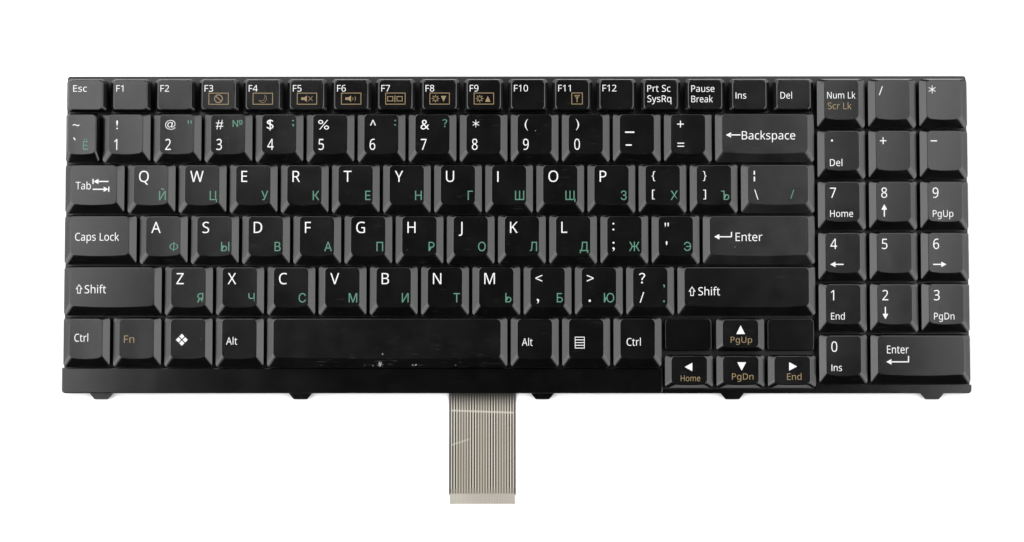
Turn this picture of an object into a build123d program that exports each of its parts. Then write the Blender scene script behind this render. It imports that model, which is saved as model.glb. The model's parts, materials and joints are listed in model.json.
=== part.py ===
from build123d import *

import os
from dataclasses import dataclass
from functools import cache
from math import asin, cos, degrees, sin, sqrt

# A full-size laptop replacement keyboard. Hollow keycaps ride on scissor links and rubber domes above a
# switch membrane and a stamped steel plate, with a moulded frame along the front edge.
# Millimetres, +X to the right, +Y to the back, +Z up, origin at the centre of the plate's underside.

# Key grid
key_pitch = 19.0
left_column = 13.7
main_columns = 14
main_rows = 5
pad_columns = 3
pad_rows = 6
function_row_depth = 12.75
arrow_row_depth = 13.5
key_gap = 1.3
row_gap = 0.6
function_key_gap = 1.6
arrow_row_gap = 1.3
space_bar_pitches = 4.75

# How far each row's second key starts to the right of the digit 1 key, in key pitches
upper_row_stagger = 0.5
home_row_stagger = 0.75
lower_row_stagger = 1.25
bottom_row_stagger = 0.25

# Heights
plate_thickness = 0.5
membrane_thickness = 0.3
key_travel = 2.5
pressed_clearance = 0.3
cap_height = 3.5

# Keycaps
cap_wall = 1.0
cap_roof = 1.0
skirt_height = 2.0
skirt_corner = 1.4
top_corner = 1.8
top_edge_round = 0.5
dish_depth = 0.05
letter_side_slope = 2.4
letter_front_slope = 3.6
letter_back_slope = 0.5
letter_front_bow = 0.6
narrow_side_slope = 1.0
function_side_slope = 1.2
function_front_slope = 0.6
function_back_slope = 0.4
function_front_bow = 0.15
arrow_side_slope = 2.2
arrow_front_slope = 1.4
arrow_front_bow = 0.3
plunger_radius = 1.5
plunger_length = 1.05
clip_width = 3.0
clip_thickness = 1.0
clip_depth = 0.45
home_bar_width = 3.0
home_bar_thickness = 0.5
home_bar_height = 0.25
home_bar_setback = 2.2
home_dot_radius = 0.6

# Scissor links, domes and the hooks that hold the links
link_bar = 0.8
link_clearance = 0.2
link_length = 9.4
link_width = 10.8
small_link_length = 6.6
small_link_width = 8.2
dome_radius = 3.2
small_dome_radius = 2.0
dome_wall = 0.45
fit_clearance = 0.15
hook_width = 3.0
hook_window_length = 2.0

# Levelling wire under the space bar
wire_diameter = 1.0
wire_arm = 11.0
wire_length = 70.0
wire_foot = 2.5
wire_setback = 5.7
wire_bend = 1.2
wire_clip_spacing = 40.0

# Plate, frame, filler plates and membrane
back_rim = 1.6
plate_corner = 1.0
plate_margin = 0.25
plate_setback = 0.4
front_strip_depth = 9.45
frame_overhang = 0.2
strip_height = 3.2
rim_height = 2.4
frame_wall = 1.0
frame_corner = 1.3
frame_edge_round = 0.4
filler_height = 3.8
filler_corner = 1.6
filler_gap = 1.5
membrane_inset = 0.8

# Tabs that hook under the palm rest, and where each one stands along the front edge
tab_root = 8.6
tab_tip = 5.0
tab_length = 2.2
tab_base = 0.8
tab_thickness = 1.2
tab_corner = 0.5
outer_tab_x = 154.3
inner_tab_x = 80.2
middle_tab_x = 9.75

# Membrane tail
tail_x = -12.6
tail_width = 25.0
tail_contact_width = 24.2
tail_contact_length = 3.2
tail_reach = 41.0
tail_thickness = 0.2
tail_slope_length = 6.7
tail_slot_clearance = 0.25

# Worked out from the sizes above
field_width = left_column + (main_columns + pad_columns) * key_pitch
field_left = -field_width / 2
digit_left = field_left + left_column
main_right = digit_left + main_columns * key_pitch
arrow_left = main_right - pad_columns * key_pitch
total_depth = back_rim + function_row_depth + main_rows * key_pitch + front_strip_depth
back_edge = total_depth / 2
front_edge = -back_edge
function_back = back_edge - back_rim
digit_back = function_back - function_row_depth
bottom_back = digit_back - (main_rows - 1) * key_pitch
main_front = digit_back - main_rows * key_pitch
pad_front = function_back - pad_rows * key_pitch
arrow_front = bottom_back - 2 * arrow_row_depth

membrane_top = plate_thickness + membrane_thickness
skirt_level = membrane_top + pressed_clearance + key_travel
key_top = skirt_level + cap_height
dish_level = key_top - dish_depth
roof_level = dish_level - cap_roof
plunger_level = roof_level - plunger_length
clip_level = roof_level - clip_depth
plate_half_width = field_width / 2 + plate_margin
frame_half_width = plate_half_width + frame_overhang

bar_reach = link_bar / sqrt(2)
low_bar_level = membrane_top + fit_clearance + bar_reach
high_bar_level = clip_level - fit_clearance - bar_reach
link_rise = high_bar_level - low_bar_level


@dataclass(frozen=True)
class CapStyle:
    """How far a cap's slopes lean in from its skirt to its top, and how far the top's front edge bows out."""

    side: float
    front: float
    back: float
    bow: float


@dataclass(frozen=True)
class Mechanism:
    """The scissor and dome under a key: the links' length and width, and the dome's foot radius."""

    length: float
    width: float
    dome: float

    @property
    def tilt(self):
        return asin(link_rise / self.length)

    @property
    def half_span(self):
        return self.length * cos(self.tilt) / 2


@dataclass(frozen=True)
class Key:
    """One key: its name, the centre and size of its cell, its gaps beside and behind it, and its make-up."""

    name: str
    x: float
    y: float
    width: float
    depth: float
    side_gap: float
    row_gap: float
    style: CapStyle
    mechanism: Mechanism


letter_style = CapStyle(letter_side_slope, letter_front_slope, letter_back_slope, letter_front_bow)
narrow_style = CapStyle(narrow_side_slope, letter_front_slope, letter_back_slope, letter_front_bow)
function_style = CapStyle(
    function_side_slope, function_front_slope, function_back_slope, function_front_bow
)
arrow_style = CapStyle(arrow_side_slope, arrow_front_slope, function_back_slope, arrow_front_bow)
full_mechanism = Mechanism(link_length, link_width, dome_radius)
small_mechanism = Mechanism(small_link_length, small_link_width, small_dome_radius)


def lay_row(names, edges, back, depth, style, mechanism, side_gap=key_gap, behind=row_gap):
    """Keys side by side between the given edges, with their cells' back edge at back."""
    keys = []
    for name, left, right in zip(names, edges, edges[1:]):
        x = (left + right) / 2
        y = back - depth / 2
        keys.append(Key(name, x, y, right - left, depth, side_gap, behind, style, mechanism))
    return keys


def lay_main_row(names, row, stagger):
    """A staggered row of the main block, whose first and last keys fill it to the block's edges."""
    starts = [digit_left + (stagger + i) * key_pitch for i in range(len(names) - 1)]
    edges = [field_left, *starts, main_right]
    back = digit_back - row * key_pitch
    return lay_row(names, edges, back, key_pitch, letter_style, full_mechanism)


function_names = ["escape", *[f"f{i}" for i in range(1, 13)], "print_screen", "pause", "insert", "delete"]
function_pitch = (main_right - field_left) / len(function_names)
function_edges = [field_left + i * function_pitch for i in range(len(function_names) + 1)]
function_row = lay_row(
    function_names, function_edges, function_back, function_row_depth, function_style, small_mechanism,
    function_key_gap,
)

digit_names = [*"1234567890", "minus", "equals"]
grave_row = lay_row(
    ["grave"], [field_left, digit_left], digit_back, key_pitch, narrow_style, small_mechanism
)
digit_edges = [digit_left + i * key_pitch for i in range(len(digit_names) + 1)] + [main_right]
digit_row = grave_row + lay_row(
    [*digit_names, "backspace"], digit_edges, digit_back, key_pitch, letter_style, full_mechanism
)
upper_row = lay_main_row(
    ["tab", *"qwertyuiop", "left_bracket", "right_bracket", "backslash"], 1, upper_row_stagger
)
home_row = lay_main_row(["caps_lock", *"asdfghjkl", "semicolon", "quote", "enter"], 2, home_row_stagger)
lower_row = lay_main_row(
    ["left_shift", *"zxcvbnm", "comma", "period", "slash", "right_shift"], 3, lower_row_stagger
)

# Bottom row: four keys, the space bar, and three keys up to the arrow cluster
left_starts = [digit_left + (bottom_row_stagger + i) * key_pitch for i in range(4)]
space_right = left_starts[-1] + space_bar_pitches * key_pitch
bottom_left = lay_row(
    ["left_control", "function", "system", "left_alt"],
    [field_left, *left_starts], bottom_back, key_pitch, letter_style, full_mechanism,
)
space_keys = lay_row(
    ["space"], [left_starts[-1], space_right], bottom_back, key_pitch, letter_style, full_mechanism
)
right_pitch = (arrow_left - space_right) / 3
bottom_right = lay_row(
    ["right_alt", "menu", "right_control"],
    [space_right + i * right_pitch for i in range(4)],
    bottom_back, key_pitch, letter_style, full_mechanism,
)
space_bar = space_keys[0]

# Arrow cluster: the up key stands between two filler plates, behind the other three
arrow_edges = [arrow_left + i * key_pitch for i in range(pad_columns + 1)]
upper_arrow_cells = lay_row(
    ["left_filler", "up", "right_filler"], arrow_edges, bottom_back, arrow_row_depth, arrow_style,
    small_mechanism, behind=arrow_row_gap,
)
arrow_keys = [upper_arrow_cells[1]] + lay_row(
    ["left", "down", "right"], arrow_edges, bottom_back - arrow_row_depth, arrow_row_depth, arrow_style,
    small_mechanism, behind=arrow_row_gap,
)
filler_cells = [upper_arrow_cells[0], upper_arrow_cells[2]]

# Number pad, whose last row has one wide key
pad_names = [
    ["num_lock", "pad_divide", "pad_multiply"],
    ["pad_point", "pad_plus", "pad_minus"],
    ["pad_7", "pad_8", "pad_9"],
    ["pad_4", "pad_5", "pad_6"],
    ["pad_1", "pad_2", "pad_3"],
    ["pad_0", "pad_enter"],
]
pad_edges = [main_right + i * key_pitch for i in range(pad_columns + 1)]
pad_keys = []
for row, names in enumerate(pad_names):
    edges = pad_edges[: len(names)] + [pad_edges[-1]]
    back = function_back - row * key_pitch
    pad_keys += lay_row(names, edges, back, key_pitch, letter_style, full_mechanism)

main_keys = digit_row + upper_row + home_row + lower_row + bottom_left + space_keys + bottom_right
control_names = {
    "tab", "caps_lock", "left_shift", "right_shift", "left_control", "function", "system", "left_alt",
    "right_alt", "menu", "right_control",
}
writing_keys = [key for key in main_keys if key.name not in control_names]
control_keys = function_row + [key for key in main_keys if key.name in control_names] + arrow_keys
all_keys = writing_keys + control_keys + pad_keys
home_bar_keys = {"f", "j"}
home_dot_keys = {"pad_5"}


def draw_outline(level, width, depth, shift, corner, bow=0.0):
    """A rounded rectangle at a level, shifted to the back, whose front edge can bow out in its middle."""
    half = width / 2
    front = shift - depth / 2
    back = shift + depth / 2
    with BuildSketch(Plane.XY.offset(level)) as outline:
        with BuildLine():
            Polyline((-half, front), (-half, back), (half, back), (half, front))
            if bow:
                ThreePointArc((half, front), (0, front - bow), (-half, front))
            else:
                Line((half, front), (-half, front))
        make_face()
        fillet(outline.vertices(), corner)
    return outline.sketch


@cache
def make_keycap(width, depth, style, mechanism):
    """A hollow cap over the origin: upright skirt, lofted slopes, plunger, and clips for the links.

    A cap of one pitch has a dished top, and a wider one a flat top.
    """
    top_width = width - 2 * style.side
    top_depth = depth - style.front - style.back
    top_shift = (style.front - style.back) / 2
    walls = 2 * cap_wall
    inner_corner = max(skirt_corner - cap_wall / 2, skirt_corner / 2)
    with BuildPart() as cap:
        add(draw_outline(skirt_level, width, depth, 0, skirt_corner))
        extrude(amount=skirt_height)
        add(draw_outline(skirt_level + skirt_height, width, depth, 0, skirt_corner))
        add(draw_outline(key_top, top_width, top_depth, top_shift, top_corner, style.bow))
        loft()
        if width < key_pitch:
            dish_radius = (top_width / 2) ** 2 / (2 * dish_depth) + dish_depth / 2
            with Locations((0, 0, dish_level + dish_radius)):
                Cylinder(dish_radius, 2 * depth, rotation=(90, 0, 0), mode=Mode.SUBTRACT)
        fillet(cap.faces().sort_by(Axis.Z)[-1].edges(), top_edge_round)
        add(draw_outline(skirt_level, width - walls, depth - walls, 0, inner_corner))
        add(draw_outline(roof_level, top_width - walls, top_depth - walls, top_shift, inner_corner))
        loft(mode=Mode.SUBTRACT)
        with BuildSketch(Plane.XY.offset(plunger_level)):
            Circle(plunger_radius)
        extrude(amount=plunger_length)
        with BuildSketch(Plane.XY.offset(clip_level)):
            with GridLocations(0, 2 * mechanism.half_span, 1, 2):
                Rectangle(clip_width, clip_thickness)
        extrude(amount=clip_depth)
    return cap.part


def keycap_of(key):
    """The cap that fits a key's cell."""
    return make_keycap(key.width - key.side_gap, key.depth - key.row_gap, key.style, key.mechanism)


def centres(keys, mechanism):
    """The centres of those keys that have the given mechanism."""
    return [(key.x, key.y, 0) for key in keys if key.mechanism == mechanism]


def make_link(length, width, tilt):
    """A scissor link: a flat rectangular ring about the origin's axis, tilted about X."""
    middle = (low_bar_level + high_bar_level) / 2
    ring_plane = Plane((0, 0, middle), x_dir=(1, 0, 0), z_dir=(0, -sin(tilt), cos(tilt)))
    with BuildPart() as link:
        with BuildSketch(ring_plane):
            Rectangle(width, length + link_bar)
            Rectangle(width - 2 * link_bar, length - link_bar, mode=Mode.SUBTRACT)
        extrude(amount=link_bar / 2, both=True)
    return link.part


def make_dome(radius):
    """A rubber dome on the membrane under the plunger: a hollow cone with a flat top."""
    top = plunger_level - fit_clearance
    top_radius = min(plunger_radius, radius - 2 * dome_wall) + dome_wall / 2
    with BuildPart() as dome:
        with BuildSketch(Plane.XZ):
            with BuildLine():
                Polyline(
                    (radius - dome_wall, membrane_top),
                    (radius, membrane_top),
                    (top_radius, top),
                    (0, top),
                    (0, top - 2 * dome_wall),
                    (top_radius - dome_wall, top - 2 * dome_wall),
                    close=True,
                )
            make_face()
        revolve(axis=Axis.Z)
    return dome.part


def make_hook(bar_radius, bar_level):
    """A tab stamped up from the plate in front of a bar at the origin, with a lip over the bar."""
    inner = -(bar_radius + fit_clearance)
    outer = inner - plate_thickness
    lip = bar_level + bar_radius + fit_clearance
    with BuildPart() as hook:
        with BuildSketch(Plane.YZ):
            with BuildLine():
                Polyline(
                    (outer, 0),
                    (inner, 0),
                    (inner, lip),
                    (0, lip),
                    (0, lip + plate_thickness),
                    (outer, lip + plate_thickness),
                    close=True,
                )
            make_face()
        extrude(amount=hook_width / 2, both=True)
    return hook.part


# The wire's arms rise from their feet in the plate's hooks to the bar under the space bar
wire_radius = wire_diameter / 2
wire_bar_level = clip_level - fit_clearance - wire_radius
wire_foot_level = membrane_top + fit_clearance + wire_radius
wire_tilt = asin((wire_bar_level - wire_foot_level) / wire_arm)
wire_bar_y = space_bar.y + wire_setback
wire_foot_y = wire_bar_y - wire_arm * cos(wire_tilt)
wire_hook_x = (wire_length + wire_foot) / 2 + wire_bend / 2


def hook_places(mechanism):
    """Where the hooks of the keys with that mechanism stand: in front of and behind each key's centre."""
    places = []
    for x, y, _ in centres(all_keys, mechanism):
        places.append(Location((x, y - mechanism.half_span, 0)))
        places.append(Location((x, y + mechanism.half_span, 0), (0, 0, 180)))
    return places


wire_hook_places = [
    Location((space_bar.x + side * wire_hook_x, wire_foot_y, 0)) for side in (-1, 1)
]
link_hook_places = hook_places(full_mechanism) + hook_places(small_mechanism)
link_hook_inner = bar_reach + fit_clearance
wire_hook_inner = wire_radius + fit_clearance

os.makedirs("parts", exist_ok=True)

# Base plate: a flat steel sheet with a window behind each hook that was stamped out of it
with BuildPart() as base_plate:
    with BuildSketch():
        plate_front = front_edge + plate_setback
        with Locations((0, (back_edge + plate_front) / 2)):
            RectangleRounded(2 * plate_half_width, back_edge - plate_front, plate_corner)
        with Locations(*link_hook_places):
            with Locations((0, hook_window_length / 2 - link_hook_inner)):
                Rectangle(hook_width, hook_window_length, mode=Mode.SUBTRACT)
        with Locations(*wire_hook_places):
            with Locations((0, hook_window_length / 2 - wire_hook_inner)):
                Rectangle(hook_width, hook_window_length, mode=Mode.SUBTRACT)
    extrude(amount=plate_thickness)
    with Locations(*link_hook_places):
        add(make_hook(bar_reach, low_bar_level))
    with Locations(*wire_hook_places):
        add(make_hook(wire_radius, wire_foot_level))
base_plate.part.label = "base_plate"
export_step(base_plate.part, "parts/base_plate.step")

# Switch membrane: a film under the keys, open round the hooks, whose tail runs out below the front strip
hook_depth = link_hook_inner + plate_thickness
with BuildPart() as switch_membrane:
    film_left = -plate_half_width + membrane_inset
    film_right = plate_half_width - membrane_inset
    with BuildSketch(Plane.XY.offset(plate_thickness)):
        with BuildLine():
            Polyline(
                (film_left, back_edge - membrane_inset),
                (film_right, back_edge - membrane_inset),
                (film_right, pad_front + membrane_inset),
                (main_right, pad_front + membrane_inset),
                (main_right, arrow_front + membrane_inset),
                (arrow_left + membrane_inset, arrow_front + membrane_inset),
                (arrow_left + membrane_inset, main_front + membrane_inset),
                (film_left, main_front + membrane_inset),
                close=True,
            )
        make_face()
        with Locations(*link_hook_places):
            with Locations((0, -hook_depth / 2)):
                Rectangle(
                    hook_width + 2 * fit_clearance, hook_depth + 2 * fit_clearance, mode=Mode.SUBTRACT
                )
        with Locations(*wire_hook_places):
            with Locations((0, -hook_depth / 2)):
                Rectangle(
                    hook_width + 2 * fit_clearance, hook_depth + 2 * fit_clearance, mode=Mode.SUBTRACT
                )
    extrude(amount=membrane_thickness)
    # Side view of the tail: flat on the plate, down a slope in front of it, then flat on the table
    with BuildSketch(Plane.YZ.offset(tail_x)):
        with BuildLine():
            slope_end = front_edge - tail_slope_length
            tail_end = front_edge - tail_reach
            Polyline(
                (main_front + 2 * membrane_inset, plate_thickness),
                (front_edge, plate_thickness),
                (slope_end, 0),
                (tail_end, 0),
                (tail_end, tail_thickness),
                (slope_end, tail_thickness),
                (front_edge, plate_thickness + tail_thickness),
                (main_front + 2 * membrane_inset, plate_thickness + tail_thickness),
                close=True,
            )
        make_face()
    extrude(amount=tail_width / 2, both=True)
    with BuildSketch():
        with Locations((tail_x, tail_end + tail_contact_length / 2)):
            Rectangle(tail_width + 1, tail_contact_length)
            Rectangle(tail_contact_width, tail_contact_length, mode=Mode.SUBTRACT)
    extrude(amount=tail_thickness, mode=Mode.SUBTRACT)
switch_membrane.part.label = "switch_membrane"
export_step(switch_membrane.part, "parts/switch_membrane.step")

# Rubber domes, one under each key
with BuildPart() as rubber_domes:
    for mechanism in (full_mechanism, small_mechanism):
        with Locations(*centres(all_keys, mechanism)):
            add(make_dome(mechanism.dome))
rubber_domes.part.label = "rubber_domes"
export_step(rubber_domes.part, "parts/rubber_domes.step")

# Scissor links: the outer ones rise to the back, the narrower inner ones rise to the front
with BuildPart() as scissor_outer_links:
    for mechanism in (full_mechanism, small_mechanism):
        with Locations(*centres(all_keys, mechanism)):
            add(make_link(mechanism.length, mechanism.width, mechanism.tilt))
scissor_outer_links.part.label = "scissor_outer_links"
export_step(scissor_outer_links.part, "parts/scissor_outer_links.step")

with BuildPart() as scissor_inner_links:
    for mechanism in (full_mechanism, small_mechanism):
        inner_width = mechanism.width - 2 * (link_bar + link_clearance)
        with Locations(*centres(all_keys, mechanism)):
            add(make_link(mechanism.length, inner_width, -mechanism.tilt))
scissor_inner_links.part.label = "scissor_inner_links"
export_step(scissor_inner_links.part, "parts/scissor_inner_links.step")

# Levelling wire: one bent steel wire from foot to foot
with BuildPart() as space_bar_wire:
    with BuildLine():
        half = wire_length / 2
        foot_end = half + wire_foot
        FilletPolyline(
            (space_bar.x - foot_end, wire_foot_y, wire_foot_level),
            (space_bar.x - half, wire_foot_y, wire_foot_level),
            (space_bar.x - half, wire_bar_y, wire_bar_level),
            (space_bar.x + half, wire_bar_y, wire_bar_level),
            (space_bar.x + half, wire_foot_y, wire_foot_level),
            (space_bar.x + foot_end, wire_foot_y, wire_foot_level),
            radius=wire_bend,
        )
    with BuildSketch(Plane.YZ.offset(space_bar.x - foot_end)):
        with Locations((wire_foot_y, wire_foot_level)):
            Circle(wire_radius)
    sweep()
space_bar_wire.part.label = "space_bar_wire"
export_step(space_bar_wire.part, "parts/space_bar_wire.step")

# Front frame: a hollow strip before the space bar, a low rim before the arrows and the pad, and the tabs
with BuildPart() as front_frame:
    strip_width = arrow_left + frame_half_width
    strip_depth = main_front - front_edge
    strip_x = (arrow_left - frame_half_width) / 2
    strip_y = (main_front + front_edge) / 2
    with BuildSketch(Plane.XY.offset(plate_thickness)):
        with Locations((strip_x, strip_y)):
            Rectangle(strip_width, strip_depth)
    extrude(amount=strip_height - plate_thickness)
    with BuildSketch(Plane.XY.offset(plate_thickness)):
        with BuildLine():
            Polyline(
                (arrow_left - frame_wall, front_edge),
                (frame_half_width, front_edge),
                (frame_half_width, pad_front),
                (main_right, pad_front),
                (main_right, arrow_front),
                (arrow_left - frame_wall, arrow_front),
                close=True,
            )
        make_face()
    extrude(amount=rim_height - plate_thickness)
    outer_corners = front_frame.edges().filter_by(Axis.Z).group_by(Axis.Y)[0]
    fillet(outer_corners, frame_corner)
    strip_top = front_frame.faces().filter_by(Axis.Z).sort_by(Axis.Z)[-1]
    fillet(strip_top.edges(), frame_edge_round)
    with BuildSketch(Plane.XY.offset(plate_thickness)):
        with Locations((strip_x, strip_y)):
            Rectangle(strip_width - 2 * frame_wall, strip_depth - 2 * frame_wall)
    extrude(amount=strip_height - frame_wall - plate_thickness, mode=Mode.SUBTRACT)
    # Slot for the membrane's tail, through the strip's back and front walls
    with BuildSketch(Plane.XY.offset(plate_thickness)):
        with Locations((tail_x, strip_y)):
            Rectangle(tail_width + 2 * tail_slot_clearance, strip_depth)
    extrude(amount=tail_thickness + tail_slot_clearance, mode=Mode.SUBTRACT)
    tab_places = [-outer_tab_x, -inner_tab_x, middle_tab_x, inner_tab_x, outer_tab_x]
    with BuildSketch(Plane.XY.offset(tab_base)) as tab_outline:
        with Locations(*[(x, front_edge) for x in tab_places]):
            Polygon(
                (-tab_root / 2, frame_wall / 2),
                (-tab_root / 2, 0),
                (-tab_tip / 2, -tab_length),
                (tab_tip / 2, -tab_length),
                (tab_root / 2, 0),
                (tab_root / 2, frame_wall / 2),
                align=None,
            )
        fillet(tab_outline.vertices().group_by(Axis.Y)[0], tab_corner)
    extrude(amount=tab_thickness)
front_frame.part.label = "front_frame"
export_step(front_frame.part, "parts/front_frame.step")

# Filler plates: blank hollow covers that stand on the membrane on both sides of the up arrow
with BuildPart() as filler_plates:
    with BuildSketch(Plane.XY.offset(membrane_top)):
        with Locations(*[(cell.x, cell.y) for cell in filler_cells]):
            RectangleRounded(key_pitch - filler_gap, arrow_row_depth - filler_gap, filler_corner)
    extrude(amount=filler_height - membrane_top)
    for top in filler_plates.faces().group_by(Axis.Z)[-1]:
        fillet(top.edges(), frame_edge_round)
    with BuildSketch(Plane.XY.offset(membrane_top)):
        with Locations(*[(cell.x, cell.y) for cell in filler_cells]):
            RectangleRounded(
                key_pitch - filler_gap - 2 * frame_wall,
                arrow_row_depth - filler_gap - 2 * frame_wall,
                filler_corner - frame_wall / 2,
            )
    extrude(amount=filler_height - membrane_top - frame_wall, mode=Mode.SUBTRACT)
filler_plates.part.label = "filler_plates"
export_step(filler_plates.part, "parts/filler_plates.step")

# Keycaps of the number pad, with a raised dot on the middle one
with BuildPart() as number_pad_keycaps:
    add([keycap_of(key).moved(Location((key.x, key.y, 0))) for key in pad_keys])
    for key in pad_keys:
        if key.name in home_dot_keys:
            with Locations((key.x, key.y - home_bar_setback, dish_level + home_bar_height / 4)):
                Cylinder(home_dot_radius, home_bar_height)
number_pad_keycaps.part.label = "number_pad_keycaps"
export_step(number_pad_keycaps.part, "parts/number_pad_keycaps.step")

# Keycaps of the function row, the control keys and the arrows
with BuildPart() as control_keycaps:
    add([keycap_of(key).moved(Location((key.x, key.y, 0))) for key in control_keys])
control_keycaps.part.label = "function_and_control_keycaps"
export_step(control_keycaps.part, "parts/function_and_control_keycaps.step")

# Keycaps that write to the page, with enter and backspace, each one a piece of its own
for key in writing_keys:
    with BuildPart() as keycap:
        with Locations((key.x, key.y, 0)):
            add(keycap_of(key))
        if key.name in home_bar_keys:
            with Locations((key.x, key.y - home_bar_setback, dish_level + home_bar_height / 4)):
                Box(home_bar_width, home_bar_thickness, home_bar_height)
        if key == space_bar:
            with BuildSketch(Plane.XY.offset(clip_level)):
                with Locations((key.x, wire_bar_y)):
                    with GridLocations(wire_clip_spacing, 0, 2, 1):
                        Rectangle(clip_width, clip_thickness)
            extrude(amount=clip_depth)
    keycap.part.label = f"key_{key.name}"
    export_step(keycap.part, f"parts/key_{key.name}.step")

wire_low_tilt = asin((wire_bar_level - key_travel - wire_foot_level) / wire_arm)
print("keys", len(all_keys), "of which moving", len(writing_keys))
print("space bar wire: pivot y", round(wire_foot_y, 3), "z", round(wire_foot_level, 3))
print("space bar wire: swing", round(degrees(wire_tilt - wire_low_tilt), 3), "degrees over the travel")
print("front edge", front_edge, "skirt level", skirt_level, "key top", key_top)
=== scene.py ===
"""Dresses a packed laptop keyboard: printed keys, links and domes, ribbon tail, light and camera."""

import json
import logging
from dataclasses import dataclass, field, replace
from enum import Enum
from math import pi, radians
from typing import Iterable, Sequence

import bpy
import numpy as np
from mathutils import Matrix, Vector
from mathutils.bvhtree import BVHTree


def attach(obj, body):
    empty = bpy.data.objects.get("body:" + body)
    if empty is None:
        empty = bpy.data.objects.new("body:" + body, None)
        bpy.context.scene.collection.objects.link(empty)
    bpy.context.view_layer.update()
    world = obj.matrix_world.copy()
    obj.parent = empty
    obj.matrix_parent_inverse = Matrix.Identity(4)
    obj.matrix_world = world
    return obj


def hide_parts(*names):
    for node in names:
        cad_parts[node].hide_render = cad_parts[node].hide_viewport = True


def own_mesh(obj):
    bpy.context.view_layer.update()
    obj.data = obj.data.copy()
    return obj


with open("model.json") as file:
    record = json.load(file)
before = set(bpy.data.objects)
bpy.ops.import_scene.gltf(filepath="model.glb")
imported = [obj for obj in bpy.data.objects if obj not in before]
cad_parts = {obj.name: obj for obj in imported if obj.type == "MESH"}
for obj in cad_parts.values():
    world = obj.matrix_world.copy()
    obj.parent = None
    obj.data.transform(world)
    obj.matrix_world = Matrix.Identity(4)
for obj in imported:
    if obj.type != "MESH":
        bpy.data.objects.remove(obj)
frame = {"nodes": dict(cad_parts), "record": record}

log = logging.getLogger("keyboard")

MM = 0.001
# The range that noise textures mostly keep to.
NOISE_SPAN = (0.3, 0.7)
# The width of the printed arrows' lines, in millimetres.
ARROW_LINE = 0.42
# The capitals' height in the built-in font, in shares of the text's size.
SANS_CAP_HEIGHT = 0.714
CYRILLIC_CAP_HEIGHT = 0.728
# The code points at which its thin sans-serif capitals, small letters and digits start.
SANS_STARTS = {"A": 0x1D5A0, "a": 0x1D5BA, "0": 0x1D7E2}


class Ink(Enum):
    """The three printing inks on the key tops."""

    WHITE = "ink_white"
    GREEN = "ink_green"
    GOLD = "ink_gold"


class Fit(Enum):
    """How a sign is sized: on a line of text by its capitals' height, or stretched into a box."""

    LINE = "line"
    BOX = "box"


def deselect_all() -> None:
    """Clears the selection, so that the next operator acts on its own object only."""
    bpy.ops.object.select_all(action="DESELECT")


def select_only(objects: Sequence[bpy.types.Object]) -> None:
    """Selects just these objects and makes the first one active.

    Args:
        objects: the objects to select.
    """
    deselect_all()
    for item in objects:
        item.select_set(True)
    bpy.context.view_layer.objects.active = objects[0]


def join(objects: Sequence[bpy.types.Object], name: str) -> bpy.types.Object:
    """Joins mesh objects into one.

    Args:
        objects: the objects, of which the first one stays.
        name: the joined object's name.

    Returns:
        The joined object.
    """
    select_only(objects)
    if len(objects) > 1:
        bpy.ops.object.join()
    joined = bpy.context.view_layer.objects.active
    joined.name = name
    joined.data.name = name
    return joined


def vertices_of(piece: bpy.types.Object) -> np.ndarray:
    """Reads a piece's vertices.

    Args:
        piece: a mesh object.

    Returns:
        An array with three columns.
    """
    flat = np.empty(3 * len(piece.data.vertices))
    piece.data.vertices.foreach_get("co", flat)
    return flat.reshape(-1, 3)


def move_vertices(piece: bpy.types.Object, places: np.ndarray) -> None:
    """Puts a piece's vertices at the given places.

    Args:
        piece: a mesh object.
        places: an array with three columns.
    """
    piece.data.vertices.foreach_set("co", np.ascontiguousarray(places).ravel())
    piece.data.update()


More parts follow.
